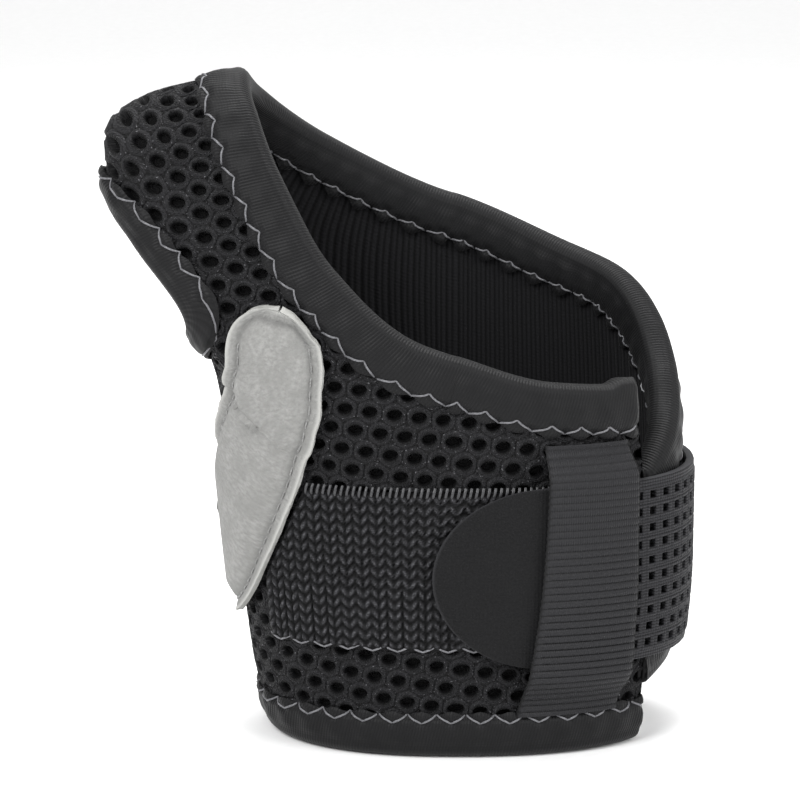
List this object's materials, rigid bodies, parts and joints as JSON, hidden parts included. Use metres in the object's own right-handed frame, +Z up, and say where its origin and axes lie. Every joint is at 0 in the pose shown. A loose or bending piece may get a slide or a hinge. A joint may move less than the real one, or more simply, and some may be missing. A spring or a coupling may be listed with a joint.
{
  "type": "thumb spica splint",
  "caption": "Soft wrap splint for wrist and thumb: mesh body with bound edges and thumb hole, suede patch over a metal stay, loop band, elastic strap with hook tab, ribbon keeper.",
  "frame": {"origin": "middle of the outline, on the surface that the splint's wrist edge stands on", "axes": "+Z up from the wrist edge towards the fingers, -Y out of the palm panel, -X towards the thumb"},
  "size_m": [0.0988, 0.0502, 0.1111],
  "materials": {
    "spacer_mesh": "matt black knitted spacer mesh",
    "lining_knit": "matt black brushed knit",
    "binding_tape": "ribbed binding tape, zigzag stitched",
    "suede": "napped grey suede",
    "stay_metal": "brushed strip",
    "loop_knit": "fine brushed loop knit",
    "strap_elastic": "woven elastic with open squares",
    "hook_tab": "matt black hook tape",
    "ribbon": "grosgrain ribbon, fine ribs"
  },
  "bodies": {
    "root": {"mesh_shell": "spacer_mesh", "lining": "lining_knit", "hand_edge_binding": "binding_tape", "wrist_edge_binding": "binding_tape", "thumb_hole_binding": "binding_tape", "suede_patch": "suede", "metal_stay": "stay_metal", "loop_band": "loop_knit", "elastic_strap": "strap_elastic", "hook_tab": "hook_tab", "ribbon_keeper": "ribbon"}
  },
  "joints": []
}
